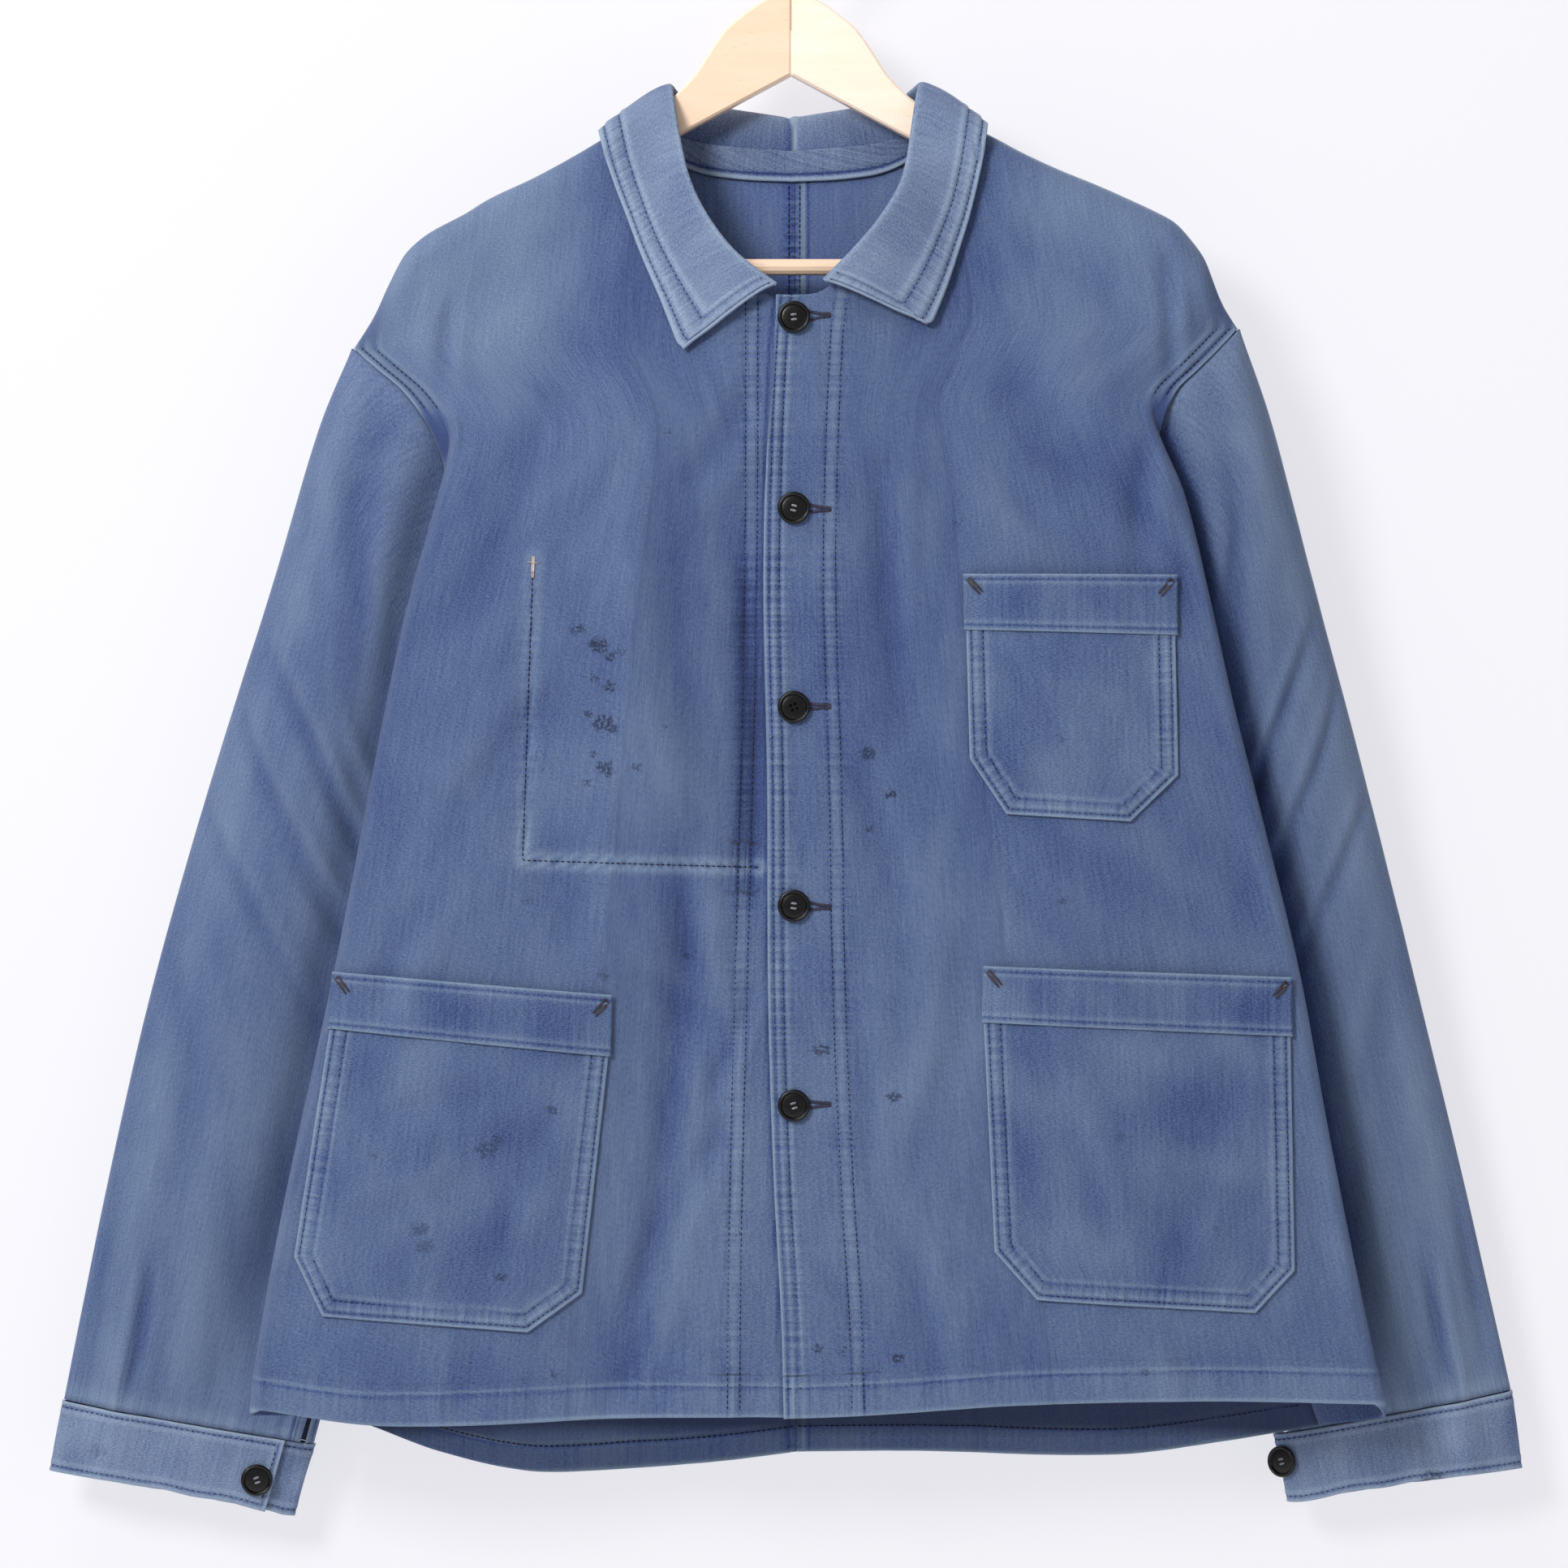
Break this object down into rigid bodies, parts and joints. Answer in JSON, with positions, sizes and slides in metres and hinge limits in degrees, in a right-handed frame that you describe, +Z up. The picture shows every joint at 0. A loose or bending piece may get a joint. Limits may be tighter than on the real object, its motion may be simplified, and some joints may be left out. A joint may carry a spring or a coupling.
{
  "type": "chore jacket on a wooden hanger",
  "caption": "Buttoned cotton chore jacket with a flat collar, patch pockets and buttoned cuffs, hanging on a wooden clothes hanger.",
  "frame": {"origin": "the inside top of the hanger's hook, where it rests on a rail", "axes": "+Z up, the jacket faces -Y, +X towards the wearer's left; a rail through the hook runs along Y"},
  "size_m": [0.8356, 0.0919, 0.9134],
  "materials": {
    "moleskin": "worn matt cotton moleskin",
    "faded_moleskin": "faded matt cotton moleskin",
    "beech": "clear satin varnish",
    "steel_wire": "bright plated wire",
    "black_plastic": "half-gloss black"
  },
  "bodies": {
    "root": {"front_right": "moleskin", "back_right": "moleskin", "sleeve_right": "moleskin", "front_left": "moleskin", "back_left": "moleskin", "sleeve_left": "moleskin", "neck_band": "moleskin", "chest_pocket_band": "moleskin", "low_pocket_left_band": "moleskin", "low_pocket_right_band": "moleskin", "inner_pocket": "moleskin", "cuff_right": "faded_moleskin", "cuff_left": "faded_moleskin", "collar": "faded_moleskin", "chest_pocket": "faded_moleskin", "low_pocket_left": "faded_moleskin", "low_pocket_right": "faded_moleskin", "hanger_arm_right": "beech", "hanger_arm_left": "beech", "hanger_bar": "beech", "hanger_hook": "steel_wire", "button_1": "black_plastic", "button_2": "black_plastic", "button_3": "black_plastic", "button_4": "black_plastic", "button_5": "black_plastic", "cuff_button_right": "black_plastic", "cuff_button_left": "black_plastic"}
  },
  "joints": []
}
